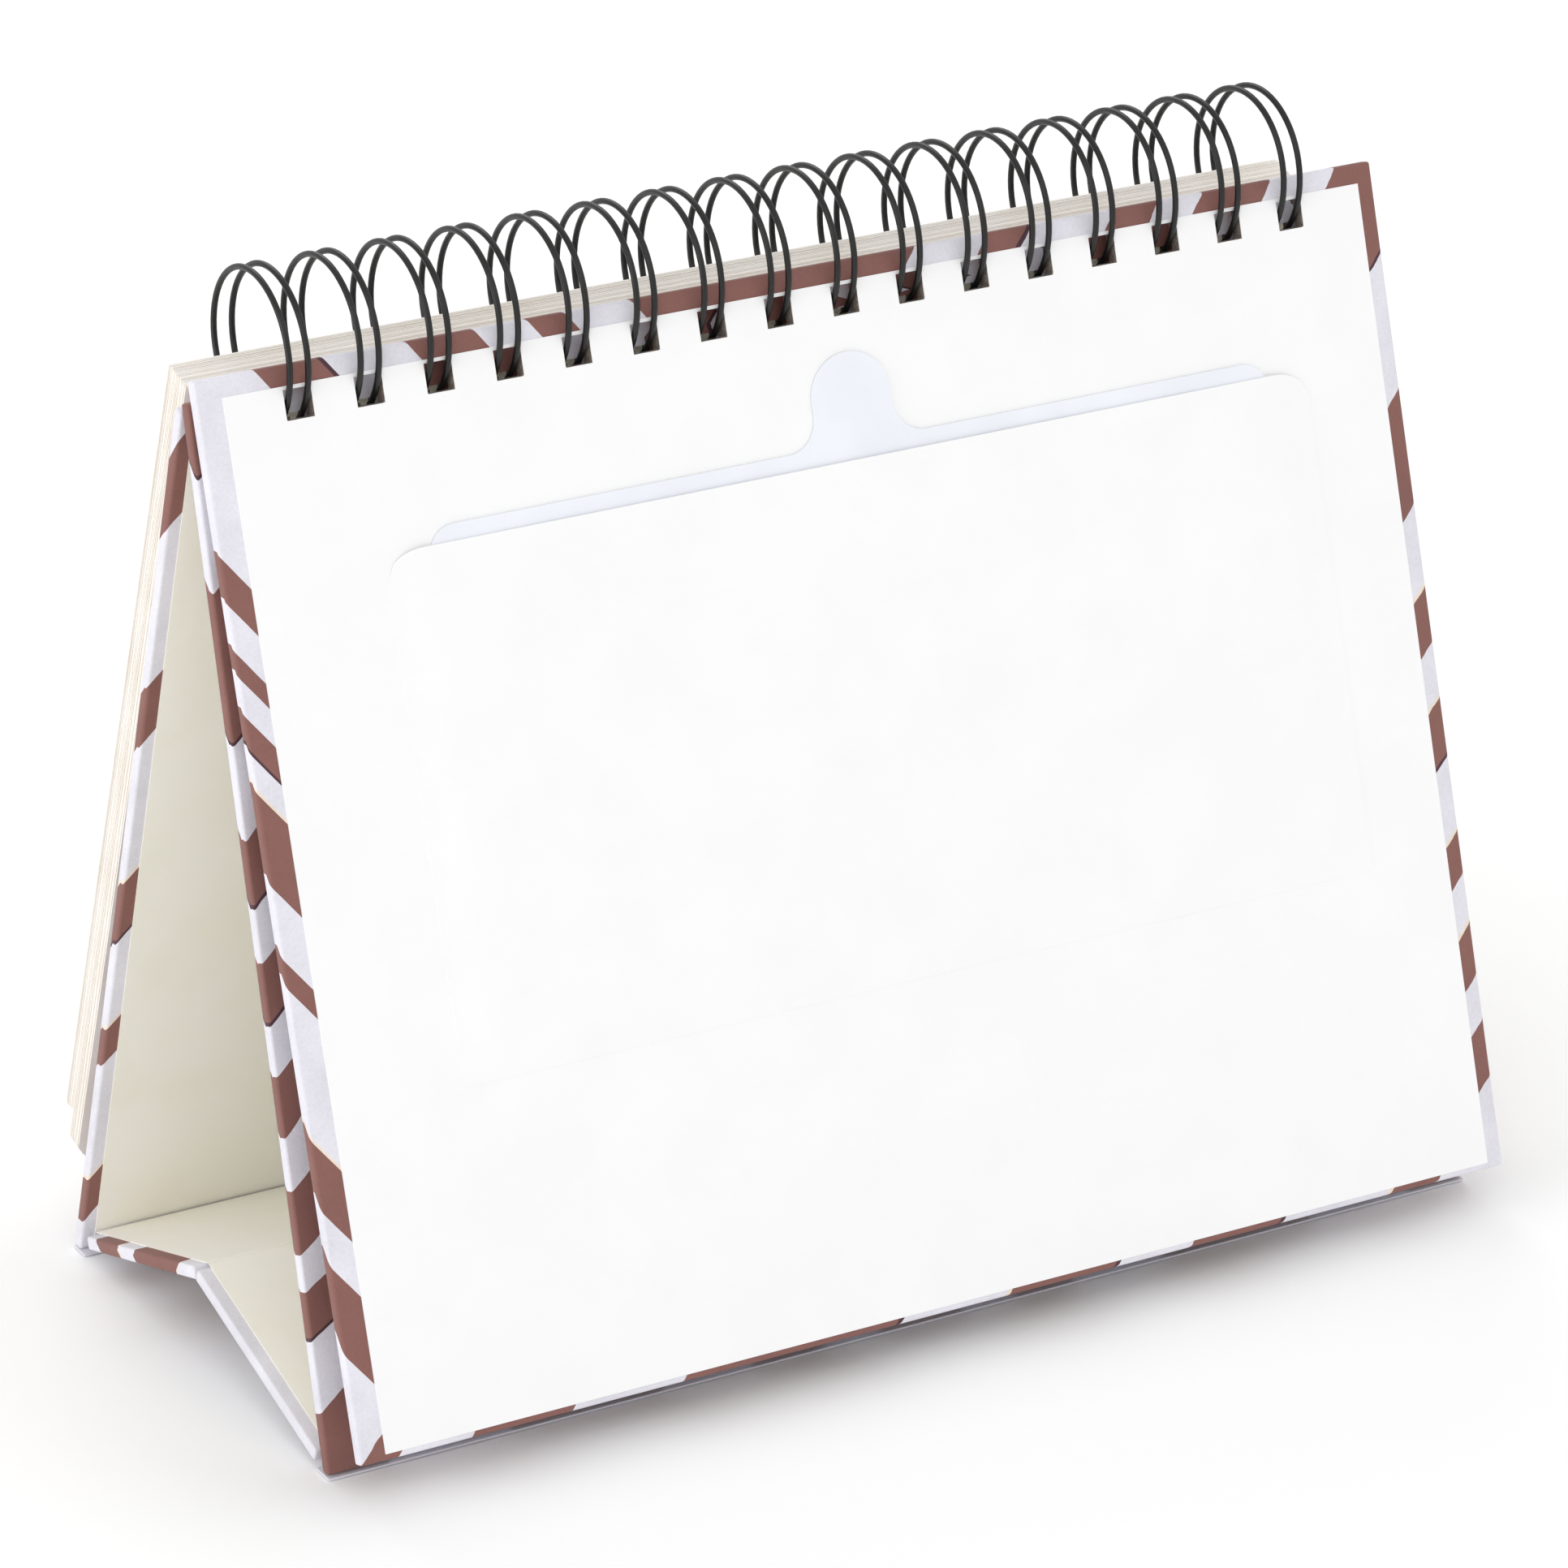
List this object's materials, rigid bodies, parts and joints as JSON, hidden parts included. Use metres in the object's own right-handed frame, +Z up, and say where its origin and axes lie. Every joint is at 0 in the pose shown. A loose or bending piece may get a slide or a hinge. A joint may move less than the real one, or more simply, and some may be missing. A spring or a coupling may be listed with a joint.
{
  "type": "flip_desk_calendar",
  "caption": "Flip desk calendar: a wrapped-board easel with a black twin-loop wire binding, a hardback cover turned over to the front with a pocket card, and a block of cream leaves.",
  "frame": {"origin": "on the table, under the middle of the object's bounding box", "axes": "+X along the binding to the viewer's right when the cover faces the viewer, +Y from the cover towards the leaves, +Z up"},
  "size_m": [0.226, 0.1215, 0.1902],
  "materials": {
    "striped_wrap": "matte printed cover paper with irregular brown and lavender-white stripes",
    "greyboard": "dense fibrous greyboard, seen on the walls of the punched holes",
    "white_liner": "smooth white lining paper",
    "ivory_liner": "matte ivory lining paper",
    "card_stock": "smooth bluish-white card",
    "leaf_paper": "uncoated cream leaves with visible sheet edges",
    "black_wire": "satin black nylon-coated steel wire"
  },
  "bodies": {
    "front_leg": {"front_leg_board": "greyboard", "front_leg_wrap": "striped_wrap", "front_leg_liner": "ivory_liner", "front_fold_paper": "striped_wrap", "twin_loop_wire": "black_wire"},
    "rear_leg": {"rear_leg_board": "greyboard", "rear_leg_wrap": "striped_wrap", "rear_leg_liner": "ivory_liner", "rear_fold_paper": "striped_wrap"},
    "front_base": {"front_base_board": "greyboard", "front_base_wrap": "striped_wrap", "front_base_liner": "ivory_liner"},
    "rear_base": {"rear_base_board": "greyboard", "rear_base_wrap": "striped_wrap", "rear_base_liner": "ivory_liner"},
    "cover": {"cover_board": "greyboard", "cover_wrap": "striped_wrap", "cover_liner": "white_liner", "cover_pocket_sheet": "white_liner"},
    "card": {"pocket_card": "card_stock"},
    "last_leaf": {"last_leaf": "leaf_paper"},
    "inner_leaves": {"inner_leaves_1": "leaf_paper", "inner_leaves_2": "leaf_paper", "inner_leaves_3": "leaf_paper"},
    "outer_leaves": {"outer_leaves_1": "leaf_paper", "outer_leaves_2": "leaf_paper", "outer_leaves_3": "leaf_paper"}
  },
  "joints": [
    {"name": "easel_fold", "type": "hinge", "parent": "front_leg", "child": "rear_leg", "pos_m": [0, 0.00173, 0.16312], "axis": [1, 0, 0], "range_deg": [-18, 0]},
    {"name": "front_base_fold", "type": "hinge", "parent": "front_leg", "child": "front_base", "pos_m": [0, -0.04365, 0.00109], "axis": [1, 0, 0], "range_deg": [0, 52]},
    {"name": "rear_base_fold", "type": "hinge", "parent": "rear_leg", "child": "rear_base", "pos_m": [0, 0.04066, 0.00195], "axis": [1, 0, 0], "range_deg": [-56, 0]},
    {"name": "last_leaf_follow", "type": "hinge", "parent": "front_leg", "child": "last_leaf", "pos_m": [0, 0.00525, 0.17615], "axis": [1, 0, 0], "range_deg": [-18, 0]},
    {"name": "inner_leaves_flip", "type": "hinge", "parent": "last_leaf", "child": "inner_leaves", "pos_m": [0, 0.00525, 0.17615], "axis": [1, 0, 0], "range_deg": [0, 75]},
    {"name": "outer_leaves_flip", "type": "hinge", "parent": "inner_leaves", "child": "outer_leaves", "pos_m": [0, 0.00525, 0.17615], "axis": [1, 0, 0], "range_deg": [0, 75]},
    {"name": "cover_flip", "type": "hinge", "parent": "front_leg", "child": "cover", "pos_m": [0, 0.00525, 0.17615], "axis": [1, 0, 0], "range_deg": [-80, 0]},
    {"name": "card_slide", "type": "slide", "parent": "cover", "child": "card", "axis": [0, 0.3074, 0.9516], "range_m": [0, 0.005]}
  ],
  "couplings": [
    {"joint": "front_base_fold", "follows": "easel_fold", "ratio": -2.8889},
    {"joint": "rear_base_fold", "follows": "easel_fold", "ratio": 3.1111},
    {"joint": "last_leaf_follow", "follows": "easel_fold", "ratio": 1}
  ]
}
